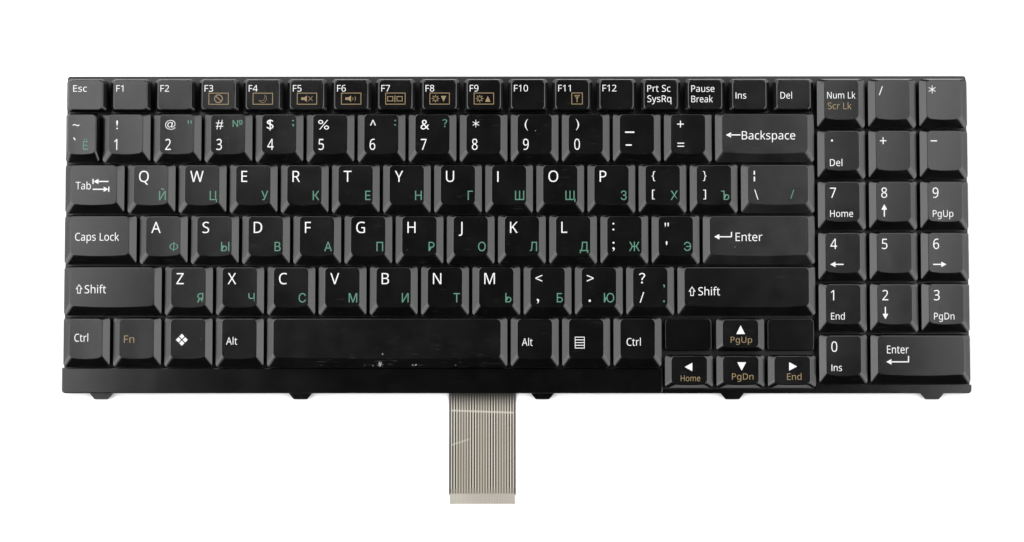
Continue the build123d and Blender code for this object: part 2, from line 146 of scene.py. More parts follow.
class NodeTree:
    """Adds and joins the nodes of a material or a node group."""

    def __init__(self, tree: bpy.types.NodeTree) -> None:
        """Keeps the tree that new nodes go into."""
        self.tree = tree

    def feed(self, node: bpy.types.Node, inputs: dict) -> None:
        """Sets or links a node's inputs.

        Args:
            node: the node.
            inputs: values or sockets by input name or number.
        """
        for key, value in inputs.items():
            if isinstance(value, bpy.types.NodeSocket):
                self.tree.links.new(value, node.inputs[key])
            else:
                node.inputs[key].default_value = value

    def add(self, kind: str, inputs: dict | None = None, **settings: object) -> bpy.types.Node:
        """Adds a node.

        Args:
            kind: the node's type name without its ShaderNode prefix.
            inputs: values or sockets by input name or number.
            settings: the node's own properties.

        Returns:
            The new node.
        """
        node = self.tree.nodes.new(kind if kind.startswith("Node") else f"ShaderNode{kind}")
        for key, value in settings.items():
            setattr(node, key, value)
        self.feed(node, inputs or {})
        return node

    def math(self, operation: str, first: object, second: object = 0.0) -> bpy.types.NodeSocket:
        """The result of a Math node on two values or sockets."""
        return self.add("Math", {0: first, 1: second}, operation=operation).outputs[0]

    def times(self, first: object, second: object) -> bpy.types.NodeSocket:
        """The product of two values or sockets."""
        return self.math("MULTIPLY", first, second)

    def minus(self, first: object, second: object) -> bpy.types.NodeSocket:
        """The difference of two values or sockets."""
        return self.math("SUBTRACT", first, second)

    def ramp(self, value: bpy.types.NodeSocket, low: float, high: float) -> bpy.types.NodeSocket:
        """A smooth step from 0 at low to 1 at high."""
        settings = {"Value": value, "From Min": low, "From Max": high}
        return self.add("MapRange", settings, interpolation_type="SMOOTHSTEP").outputs["Result"]

    def span(
        self, value: bpy.types.NodeSocket, low: float, high: float, start: float, end: float
    ) -> bpy.types.NodeSocket:
        """A straight change from start at low to end at high."""
        settings = {"Value": value, "From Min": low, "From Max": high, "To Min": start, "To Max": end}
        return self.add("MapRange", settings).outputs["Result"]

    def mix(self, factor: object, first: object, second: object) -> bpy.types.NodeSocket:
        """A blend of two colours or colour sockets."""
        return self.add("Mix", {0: factor, 6: first, 7: second}, data_type="RGBA").outputs[2]


def opaque(colour: Sequence[float], share: float = 1.0) -> tuple[float, float, float, float]:
    """A colour times a share, with full alpha."""
    return (*(share * part for part in colour), 1.0)


def new_group(
    name: str, inputs: dict[str, str], outputs: Iterable[str]
) -> tuple[NodeTree, dict[str, bpy.types.NodeSocket], bpy.types.Node]:
    """Starts a shader node group.

    Args:
        name: the group's name.
        inputs: the kind of each input socket by its name.
        outputs: the names of its value outputs.

    Returns:
        The group's tree, its input sockets by name, and its output node.
    """
    group = bpy.data.node_groups.new(name, "ShaderNodeTree")
    for label, kind in inputs.items():
        group.interface.new_socket(label, in_out="INPUT", socket_type=f"NodeSocket{kind}")
    for label in outputs:
        group.interface.new_socket(label, in_out="OUTPUT", socket_type="NodeSocketFloat")
    tree = NodeTree(group)
    start = tree.add("NodeGroupInput")
    end = tree.add("NodeGroupOutput")
    return tree, {label: start.outputs[label] for label in inputs}, end


@dataclass
class SurfaceEffects:
    """Node groups that several finishes share.

    A patch share is the scale of slow patches as a share of the fine scale. A speck's reach is in cells, and
    a chip's in radii. A span is the range of noise over which a mask rises from 0 to 1.
    """

    shine_patch_share: float = 0.02
    speck_reach: tuple[float, float] = (0.02, 0.08)
    line_turn: float = 0.07
    line_stretch: float = 0.06
    line_span: tuple[float, float] = (0.58, 0.74)
    line_patch_share: float = 0.1
    line_patch_span: tuple[float, float] = (0.45, 0.7)
    chip_scale: float = 2200.0
    chip_reach: tuple[float, float] = (0.2, 1.5)
    grain: bpy.types.NodeTree = field(init=False)
    specks: bpy.types.NodeTree = field(init=False)
    scratches: bpy.types.NodeTree = field(init=False)
    chip: bpy.types.NodeTree = field(init=False)

    def build(self) -> None:
        """Makes the groups once."""
        self.grain = self.build_grain()
        self.specks = self.build_specks()
        self.scratches = self.build_scratches()
        self.chip = self.build_chip()

    def build_grain(self) -> bpy.types.NodeTree:
        """The spark-eroded texture of moulded plastic, and slow patches of shine.

        Returns:
            A group with the outputs Height and Patches, both about 0 to 1.
        """
        inputs = {"Vector": "Vector", "Scale": "Float"}
        tree, given, end = new_group("Moulded grain", inputs, ["Height", "Patches"])
        fine = tree.add("TexNoise", {**given, "Detail": 3.0})
        slow_scale = tree.times(given["Scale"], self.shine_patch_share)
        slow = tree.add("TexNoise", {"Vector": given["Vector"], "Scale": slow_scale, "Detail": 2.0})
        tree.feed(end, {"Height": fine.outputs[0], "Patches": slow.outputs[0]})
        return tree.tree

    def build_specks(self) -> bpy.types.NodeTree:
        """Sparse dust specks of mixed size.

        Returns:
            A group with the output Mask, 1 on a speck.
        """
        inputs = {"Vector": "Vector", "Scale": "Float", "Share": "Float"}
        tree, given, end = new_group("Dust specks", inputs, ["Mask"])
        cells = tree.add("TexVoronoi", {"Vector": given["Vector"], "Scale": given["Scale"]})
        chance = tree.add("SeparateColor", {0: cells.outputs["Color"]})
        kept = tree.math("LESS_THAN", chance.outputs[0], given["Share"])
        reach = tree.span(chance.outputs[1], 0.0, 1.0, *self.speck_reach)
        inside = tree.math("LESS_THAN", cells.outputs["Distance"], reach)
        tree.feed(end, {"Mask": tree.times(kept, inside)})
        return tree.tree

    def build_scratches(self) -> bpy.types.NodeTree:
        """Fine rubbed lines that run mostly along X.

        Returns:
            A group with the output Mask, up to 1 on a line.
        """
        inputs = {"Vector": "Vector", "Scale": "Float", "Share": "Float"}
        tree, given, end = new_group("Rubbed lines", inputs, ["Mask"])
        turn, stretch = (0, 0, self.line_turn), (self.line_stretch, 1, 1)
        drawn = tree.add("Mapping", {"Vector": given["Vector"], "Rotation": turn, "Scale": stretch})
        lines = tree.add("TexNoise", {"Vector": drawn.outputs[0], "Scale": given["Scale"], "Detail": 4.0})
        patch_scale = tree.times(given["Scale"], self.line_patch_share)
        patches = tree.add("TexNoise", {"Vector": given["Vector"], "Scale": patch_scale, "Detail": 2.0})
        thin = tree.ramp(lines.outputs[0], *self.line_span)
        where = tree.ramp(patches.outputs[0], *self.line_patch_span)
        tree.feed(end, {"Mask": tree.times(given["Share"], tree.times(thin, where))})
        return tree.tree

    def build_chip(self) -> bpy.types.NodeTree:
        """One ragged chip round a centre.

        Returns:
            A group with the output Mask, 1 inside the chip.
        """
        inputs = {"Vector": "Vector", "Centre": "Vector", "Radius": "Float"}
        tree, given, end = new_group("Ragged chip", inputs, ["Mask"])
        away = tree.add("VectorMath", {0: given["Vector"], 1: given["Centre"]}, operation="DISTANCE")
        ragged = tree.add("TexNoise", {"Vector": given["Vector"], "Scale": self.chip_scale, "Detail": 3.0})
        edge = tree.times(given["Radius"], tree.span(ragged.outputs[0], *NOISE_SPAN, *self.chip_reach))
        tree.feed(end, {"Mask": tree.math("LESS_THAN", away.outputs["Value"], edge)})
        return tree.tree


def new_material(name: str) -> tuple[bpy.types.Material, NodeTree, bpy.types.Node, bpy.types.NodeSocket]:
    """Starts a material.

    Args:
        name: the material's name.

    Returns:
        The material, its tree, its Principled BSDF and its Object coordinates.
    """
    material = bpy.data.materials.new(name)
    material.use_nodes = True
    tree = NodeTree(material.node_tree)
    shader = next(n for n in material.node_tree.nodes if n.type == "BSDF_PRINCIPLED")
    place = tree.add("TexCoord").outputs["Object"]
    return material, tree, shader, place


@dataclass(frozen=True)
class Chip:
    """A chip in an edge: its centre and radius in millimetres."""

    centre: tuple[float, float, float]
    radius: float


@dataclass(frozen=True)
class MouldedPlastic:
    """Textured ABS: its colour, shine, grain, dust, rubbed lines and chips.

    Scales are in cells per metre and the grain's depth is in metres. The rubbed band is the stretch along Y,
    in millimetres, over which the rubbed lines change from strong to faint.
    """

    name: str
    colour: tuple[float, float, float]
    roughness: float
    shine_spread: float = 0.015
    pale_share: float = 1.7
    grain_scale: float = 5200.0
    grain_depth: float = 0.00004
    grain_strength: float = 0.12
    dust_scale: float = 420.0
    dust_share: float = 0.012
    dust_cover: float = 0.4
    dust_roughness: float = 0.3
    dust_colour: tuple[float, float, float] = (0.3, 0.3, 0.29)
    rubbed_scale: float = 2600.0
    rubbed_share: float = 0.08
    rubbed_band: tuple[float, float] | None = None
    rubbed_strength: tuple[float, float] = (2.2, 0.5)
    rubbed_colour: tuple[float, float, float] = (0.16, 0.16, 0.16)
    chips: tuple[Chip, ...] = ()
    chip_colour: tuple[float, float, float] = (0.26, 0.255, 0.25)

    def material(self, effects: SurfaceEffects) -> bpy.types.Material:
        """Builds the finish.

        Args:
            effects: the shared node groups.

        Returns:
            The material.
        """
        made, tree, shader, place = new_material(self.name)
        grain = tree.add("Group", {"Vector": place, "Scale": self.grain_scale}, node_tree=effects.grain)
        patches = grain.outputs["Patches"]
        dust = {"Vector": place, "Scale": self.dust_scale, "Share": self.dust_share}
        specks = tree.add("Group", dust, node_tree=effects.specks).outputs["Mask"]
        rubbed = {"Vector": place, "Scale": self.rubbed_scale, "Share": self.rubbed_share}
        lines = tree.add("Group", rubbed, node_tree=effects.scratches).outputs["Mask"]
        if self.rubbed_band:
            along = tree.add("SeparateXYZ", {0: place}).outputs["Y"]
            low, high = self.rubbed_band
            lines = tree.times(lines, tree.span(along, low * MM, high * MM, *self.rubbed_strength))
        pale = tree.ramp(patches, *NOISE_SPAN)
        colour = tree.mix(pale, opaque(self.colour), opaque(self.colour, self.pale_share))
        colour = tree.mix(lines, colour, opaque(self.rubbed_colour))
        colour = tree.mix(tree.times(specks, self.dust_cover), colour, opaque(self.dust_colour))
        for chip in self.chips:
            centre = [part * MM for part in chip.centre]
            settings = {"Vector": place, "Centre": centre, "Radius": chip.radius * MM}
            mask = tree.add("Group", settings, node_tree=effects.chip).outputs["Mask"]
            colour = tree.mix(mask, colour, opaque(self.chip_colour))
        low, high = self.roughness - self.shine_spread, self.roughness + self.shine_spread
        shine = tree.span(patches, *NOISE_SPAN, low, high)
        shine = tree.math("ADD", shine, tree.times(specks, self.dust_roughness))
        relief = {"Distance": self.grain_depth, "Strength": self.grain_strength}
        bump = tree.add("Bump", relief | {"Height": grain.outputs["Height"]})
        tree.feed(shader, {"Base Color": colour, "Roughness": shine, "Normal": bump.outputs[0]})
        return made


@dataclass(frozen=True)
class PrintedInk:
    """Screen-printed ink that is slightly worn."""

    ink: Ink
    colour: tuple[float, float, float]
    grain_scale: float = 7000.0
    worn_share: float = 0.72
    worn_span: tuple[float, float] = (0.42, 0.72)
    roughness: tuple[float, float] = (0.42, 0.55)

    def material(self, effects: SurfaceEffects) -> bpy.types.Material:
        """Builds the ink's finish.

        Args:
            effects: the shared node groups.

        Returns:
            The material.
        """
        made, tree, shader, place = new_material(self.ink.value)
        grain = tree.add("Group", {"Vector": place, "Scale": self.grain_scale}, node_tree=effects.grain)
        worn = tree.ramp(grain.outputs["Height"], *self.worn_span)
        colour = tree.mix(worn, opaque(self.colour), opaque(self.colour, self.worn_share))
        shine = tree.span(grain.outputs["Patches"], *NOISE_SPAN, *self.roughness)
        tree.feed(shader, {"Base Color": colour, "Roughness": shine})
        return made


@dataclass(frozen=True)
class PlainFinish:
    """A plain material with darker patches: colour, shine and how metallic it is."""

    name: str
    colour: tuple[float, float, float]
    roughness: float
    metallic: float = 0.0
    grain_scale: float = 3000.0
    deep_share: float = 0.8
    shine_spread: float = 0.06

    def material(self, effects: SurfaceEffects) -> bpy.types.Material:
        """Builds the finish.

        Args:
            effects: the shared node groups.

        Returns:
            The material.
        """
        made, tree, shader, place = new_material(self.name)
        grain = tree.add("Group", {"Vector": place, "Scale": self.grain_scale}, node_tree=effects.grain)
        deep = tree.ramp(grain.outputs["Patches"], *NOISE_SPAN)
        colour = tree.mix(deep, opaque(self.colour), opaque(self.colour, self.deep_share))
        low, high = self.roughness - self.shine_spread, self.roughness + self.shine_spread
        shine = tree.span(grain.outputs["Height"], *NOISE_SPAN, low, high)
        tree.feed(shader, {"Base Color": colour, "Roughness": shine, "Metallic": self.metallic})
        return made


@dataclass(frozen=True)
class Crease:
    """A straight crease in the film, along which a highlight is painted. In millimetres: a point on it, its
    slope, its ends, its half width.
    """

    x: float
    y: float
    slope: float
    left: float
    right: float
    half_width: float
    strength: float
    start_fade: float = 1.0
    end_fade: float = 2.0

    def mask(
        self, tree: NodeTree, across: bpy.types.NodeSocket, along: bpy.types.NodeSocket
    ) -> bpy.types.NodeSocket:
        """How much painted highlight lies on the film along the crease.

        Args:
            tree: the film's node tree.
            across: the place along X.
            along: the place along Y.

        Returns:
            A value from 0 to the crease's strength.
        """
        rise = tree.times(tree.minus(across, self.x * MM), self.slope)
        away = tree.math("ABSOLUTE", tree.minus(tree.minus(along, self.y * MM), rise))
        after = tree.ramp(across, self.left * MM, (self.left + self.start_fade) * MM)
        past = tree.ramp(across, (self.right - self.end_fade) * MM, self.right * MM)
        near = tree.minus(1.0, tree.math("MAXIMUM", tree.ramp(away, 0.0, self.half_width * MM), past))
        return tree.times(tree.times(near, after), self.strength)


@dataclass(frozen=True)
class PolyesterFilm:
    """The membrane's film: black under the keys, printed on the tail, with painted highlights along its
    creases.

    The print is stronger in bands across the tail and fades before the contacts; towards the frame a painted
    shadow of the frame darkens it.
    Places are in millimetres.
    """

    name: str
    strong: tuple[float, float, float]
    weak: tuple[float, float, float]
    hidden: tuple[float, float, float] = (0.003, 0.003, 0.003)
    # The colour of the painted highlight along the creases.
    crease_highlight: tuple[float, float, float] = (0.5, 0.47, 0.41)
    roughness: tuple[float, float] = (0.3, 0.42)
    grain_scale: float = 2500.0
    band_centre: float = -23.3
    band_pitch: float = 7.2
    band_spread: float = 0.9
    unevenness: float = 0.5
    fade_from: float = -94.2
    fade_length: float = 1.0
    black_from: float = -59.0
    black_blend: float = 0.1
    # The painted shadow of the frame: how far it reaches from the black and how dark it gets.
    frame_shadow_length: float = 6.5
    frame_shadow_share: float = 0.9
    creases: tuple[Crease, ...] = (
        Crease(-12.6, -66.2, -0.035, -26.0, 1.0, 0.6, 0.5),
        Crease(-21.0, -77.6, 0.33, -26.0, -16.8, 0.5, 0.35),
    )

    def material(self, effects: SurfaceEffects) -> bpy.types.Material:
        """Builds the finish.

        Args:
            effects: the shared node groups.

        Returns:
            The material.
        """
        made, tree, shader, place = new_material(self.name)
        axes = tree.add("SeparateXYZ", {0: place})
        across, along = axes.outputs["X"], axes.outputs["Y"]
        grain = tree.add("Group", {"Vector": place, "Scale": self.grain_scale}, node_tree=effects.grain)
        patches = grain.outputs["Patches"]
        turns = tree.minus(across, self.band_centre * MM)
        wave = tree.math("COSINE", tree.times(turns, 2 * pi / (self.band_pitch * MM)))
        uneven = tree.math("ADD", wave, tree.span(patches, *NOISE_SPAN, -self.unevenness, self.unevenness))
        paler = tree.minus(1.0, tree.ramp(uneven, -self.band_spread, self.band_spread))
        printed = tree.ramp(along, (self.fade_from - self.fade_length) * MM, self.fade_from * MM)
        paler = tree.math("MAXIMUM", paler, tree.minus(1.0, printed))
        colour = tree.mix(paler, opaque(self.strong), opaque(self.weak))
        # Painted highlights along the creases of the film.
        for crease in self.creases:
            colour = tree.mix(crease.mask(tree, across, along), colour, opaque(self.crease_highlight))
        # Painted shadow of the frame, darkening the film towards it.
        frame_shadow = tree.ramp(along, (self.black_from - self.frame_shadow_length) * MM, self.black_from * MM)
        colour = tree.mix(tree.times(frame_shadow, self.frame_shadow_share), colour, opaque(self.hidden))
        black = tree.ramp(along, (self.black_from - self.black_blend) * MM, self.black_from * MM)
        colour = tree.mix(black, colour, opaque(self.hidden))
        shine = tree.span(patches, *NOISE_SPAN, *self.roughness)
        tree.feed(shader, {"Base Color": colour, "Roughness": shine})
        return made


@dataclass
class Finishes:
    """All materials of the keyboard by name."""

    made: dict[str, bpy.types.Material] = field(default_factory=dict)

    def build(self) -> None:
        """Makes every material once."""
        effects = SurfaceEffects()
        effects.build()
        space_chips = (
            Chip((-50.2, -48.6, 5.8), 0.85),
            Chip((-50.5, -48.0, 6.2), 0.45),
            Chip((-49.3, -44.9, 7.4), 0.4),
            Chip((-38.2, -48.8, 5.7), 0.5),
            Chip((-37.2, -48.8, 5.7), 0.45),
            Chip((-53.0, -48.9, 5.6), 0.35),
            Chip((-56.0, -48.9, 5.6), 0.3),
            Chip((-72.2, -48.7, 5.7), 0.3),
            Chip((-22.4, -48.9, 5.6), 0.35),
        )
        finishes = [
            MouldedPlastic("keycap_abs", (0.0009, 0.0009, 0.001), 0.19),
            MouldedPlastic("wide_cap_abs", (0.004, 0.004, 0.0041), 0.26),
            MouldedPlastic(
                "space_bar_abs", (0.0015, 0.0015, 0.0016), 0.2, rubbed_share=0.12,
                rubbed_band=(-49.0, -38.0), chips=space_chips,
            ),
            MouldedPlastic("frame_abs", (0.0006, 0.0006, 0.0007), 0.17, dust_share=0.015, rubbed_share=0.04),
            PlainFinish("plate_paint", (0.004, 0.004, 0.0042), 0.5),
            PolyesterFilm("film_print", (0.39, 0.365, 0.31), (0.28, 0.26, 0.22)),
            PolyesterFilm("trace_print", (0.02, 0.017, 0.013), (0.1, 0.09, 0.07)),
            PlainFinish("edge_trace_print", (0.05, 0.042, 0.05), 0.4),
            PlainFinish("contact_print", (0.3, 0.285, 0.245), 0.4),
            PlainFinish("link_acetal", (0.68, 0.68, 0.65), 0.45),
            PlainFinish("dome_silicone", (0.55, 0.55, 0.52), 0.4),
            PlainFinish("wire_drawn", (0.56, 0.56, 0.58), 0.3, metallic=1.0),
            PrintedInk(Ink.WHITE, (0.56, 0.56, 0.56)),
            PrintedInk(Ink.GREEN, (0.045, 0.15, 0.1)),
            PrintedInk(Ink.GOLD, (0.18, 0.125, 0.055)),
        ]
        for finish in finishes:
            material = finish.material(effects)
            self.made[material.name] = material
        log.info("finishes: %s", ", ".join(self.made))

    def dress(self, piece: bpy.types.Object, name: str) -> None:
        """Gives every slot of a piece the same finish.

        Args:
            piece: a mesh object.
            name: the finish's name.
        """
        if not piece.data.materials:
            piece.data.materials.append(self.made[name])
        for number in range(len(piece.data.materials)):
            piece.data.materials[number] = self.made[name]


@dataclass(frozen=True)
class Cell:
    """One key's cell in the grid: its name, the CAD node that carries it, and its edges in millimetres."""

    name: str
    node: str
    left: float
    right: float
    front: float
    back: float

    @property
    def centre(self) -> tuple[float, float]:
        """The cell's middle."""
        return (self.left + self.right) / 2, (self.front + self.back) / 2


@dataclass
class KeyField:
    """The grid of keys that the lettering is placed by, in millimetres."""

    pitch: float = 19.0
    left_column: float = 13.7
    columns: int = 14
    pad_columns: int = 3
    rows: int = 5
    function_depth: float = 12.75
    arrow_depth: float = 13.5
    back_rim: float = 1.25
    strip_depth: float = 9.8
    space_pitches: float = 4.75
    bottom_stagger: float = 0.25
    left: float = field(init=False)
    digit_left: float = field(init=False)
    main_right: float = field(init=False)
    back: float = field(init=False)
    digit_back: float = field(init=False)
    cells: dict[str, Cell] = field(default_factory=dict)

    def build(self) -> None:
        """Lays out all cells."""
        self.left = -(self.left_column + (self.columns + self.pad_columns) * self.pitch) / 2
        self.digit_left = self.left + self.left_column
        self.main_right = self.digit_left + self.columns * self.pitch
        depth = self.back_rim + self.function_depth + self.rows * self.pitch + self.strip_depth
        self.back = depth / 2 - self.back_rim
        self.digit_back = self.back - self.function_depth
        bottom_back = self.digit_back - (self.rows - 1) * self.pitch
        arrow_left = self.main_right - self.pad_columns * self.pitch
        functions = ["escape", *[f"f{n}" for n in range(1, 13)], "print_screen", "pause", "insert", "delete"]
        width = (self.main_right - self.left) / len(functions)
        edges = [self.left + n * width for n in range(len(functions) + 1)]
        self.lay(functions, edges, self.back, self.function_depth)
        self.lay_main(["grave", *"1234567890", "minus", "equals", "backspace"], 0, 0.0)
        self.lay_main(["tab", *"qwertyuiop", "left_bracket", "right_bracket", "backslash"], 1, 0.5)
        self.lay_main(["caps_lock", *"asdfghjkl", "semicolon", "quote", "enter"], 2, 0.75)
        self.lay_main(["left_shift", *"zxcvbnm", "comma", "period", "slash", "right_shift"], 3, 1.25)
        starts = [self.digit_left + (self.bottom_stagger + n) * self.pitch for n in range(4)]
        space_right = starts[-1] + self.space_pitches * self.pitch
        step = (arrow_left - space_right) / 3
        edges = [self.left, *starts, *[space_right + n * step for n in range(4)]]
        bottom = ["left_control", "function", "system", "left_alt", "space"]
        bottom += ["right_alt", "menu", "right_control"]
        self.lay(bottom, edges, bottom_back, self.pitch)
        arrows = [arrow_left + n * self.pitch for n in range(4)]
        self.lay(["up"], arrows[1:3], bottom_back, self.arrow_depth)
        self.lay(["left", "down", "right"], arrows, bottom_back - self.arrow_depth, self.arrow_depth)
        pad = [
            ["num_lock", "pad_divide", "pad_multiply"], ["pad_point", "pad_plus", "pad_minus"],
            ["pad_7", "pad_8", "pad_9"], ["pad_4", "pad_5", "pad_6"], ["pad_1", "pad_2", "pad_3"],
            ["pad_0", "pad_enter"],
        ]
        columns = [self.main_right + n * self.pitch for n in range(4)]
        for row, names in enumerate(pad):
            edges = columns[: len(names)] + [columns[-1]]
            self.lay(names, edges, self.back - row * self.pitch, self.pitch, "number_pad_keycaps")

    def lay_main(self, names: Sequence[str], row: int, stagger: float) -> None:
        """Lays a staggered row of the main block, whose first and last keys reach its edges.

        Args:
            names: the keys' names.
            row: the row's number, where the digit row is 0.
            stagger: how far its second key starts to the right of the digit row's, in pitches.
        """
        starts = [self.digit_left + (stagger + n) * self.pitch for n in range(len(names) - 1)]
        back = self.digit_back - row * self.pitch
        self.lay(names, [self.left, *starts, self.main_right], back, self.pitch)

    def lay(
        self, names: Sequence[str], edges: Sequence[float], back: float, depth: float,
        group: str = "function_and_control_keycaps",
    ) -> None:
        """Lays cells side by side.

        Args:
            names: the keys' names.
            edges: the cells' edges along X, one more than there are names.
            back: the cells' back edge.
            depth: the cells' depth.
            group: the CAD node of those keys that have none of their own.
        """
        for name, left, right in zip(names, edges, edges[1:]):
            node = f"key_{name}" if f"key_{name}" in frame["nodes"] else group
            self.cells[name] = Cell(name, node, left, right, back - depth, back)


@dataclass(frozen=True)
class Mark:
    """One printed sign. Sizes are in millimetres from the cell's left and back edges.

    A negative left is counted from the cell's right edge to the sign's right edge. With no width, a line of
    text keeps its natural width times stretch.
    """

    text: str
    left: float
    top: float
    height: float
    width: float = 0.0
    ink: Ink = Ink.WHITE
    fit: Fit = Fit.LINE
    stretch: float = 1.0


def sans(text: str) -> str:
    """Turns plain letters and digits into the built-in sans-serif signs with thin strokes.

    A capital I stays as it is, because its sans-serif sign has bars at its ends.

    Args:
        text: a word or a sign.

    Returns:
        The text with each letter and digit replaced.
    """
    signs = []
    for sign in text:
        start = "A" if sign.isupper() else "a" if sign.islower() else "0"
        plain = sign.isascii() and sign.isalnum() and sign != "I"
        signs.append(chr(SANS_STARTS[start] + ord(sign) - ord(start)) if plain else sign)
    return "".join(signs)


def boxed(text: str, left: float, top: float, width: float, height: float, ink: Ink = Ink.WHITE) -> Mark:
    """A sign that is stretched into a box."""
    return Mark(text, left, top, height, width, ink, Fit.BOX)


def green(text: str, left: float, top: float, width: float, height: float) -> Mark:
    """A green sign that is stretched into a box."""
    return boxed(text, left, top, width, height, Ink.GREEN)


def gold(text: str, left: float, top: float, width: float, height: float) -> Mark:
    """A gold sign that is stretched into a box."""
    return boxed(text, left, top, width, height, Ink.GOLD)


def cyrillic(letter: str) -> list[Mark]:
    """The green second letter of a key. Three letters are set from simpler signs, which keeps them whole.

    Args:
        letter: a Cyrillic capital.

    Returns:
        Its marks.
    """
    right, top, height, line = -3.9, 10.75, 3.45, 0.36
    if letter == "Ф":
        return [green("O", right, top + 0.55, 3.2, 2.35), green("■", right - 1.42, top, line, height)]
    if letter == "Ъ":
        return [green("Ь", right, top, 2.1, height), green("■", right - 1.9, top, 1.1, line)]
    if letter == "Э":
        return [green("Ɔ", right, top, 2.6, height), green("■", right - 0.3, top + 1.55, 1.5, line)]
    return [Mark(letter, right, top, height, ink=Ink.GREEN, stretch=0.92)]


def arrow_left(left: float, top: float, length: float, head: float = 2.0) -> list[Mark]:
    """A straight arrow to the left with a solid head.

    Args:
        left: its left end.
        top: its head's back edge.
        length: its whole length.
        head: its head's height.

    Returns:
        Its marks.
    """
    line_top = top + (head - ARROW_LINE) / 2
    line = boxed("■", left + 0.8 * head, line_top, length - 0.8 * head, ARROW_LINE)
    return [boxed("◀", left, top, 0.95 * head, head), line]


def return_arrow(left: float, top: float, length: float, rise: float) -> list[Mark]:
    """The bent arrow of an enter key: its head, its line, and the short rise at its right end.

    Args:
        left: its left end.
        top: its head's back edge.
        length: its whole length.
        rise: the height of the rise.

    Returns:
        Its marks.
    """
    head = 2.0
    rise_top = top + (head + ARROW_LINE) / 2 - rise
    end = boxed("■", left + length - ARROW_LINE, rise_top, ARROW_LINE, rise)
    return [*arrow_left(left, top, length, head), end]


def speaker(left: float) -> list[Mark]:
    """A small gold loudspeaker."""
    return [gold("■", left, 7.6, 0.9, 1.0), gold("◀", left + 0.5, 6.9, 1.6, 2.4)]


def gold_box(icon: Sequence[Mark], left: float = 4.5, width: float = 7.5) -> list[Mark]:
    """A gold frame on a function key with an icon in it."""
    return [gold("□", left, 5.9, width, 4.4), *icon]


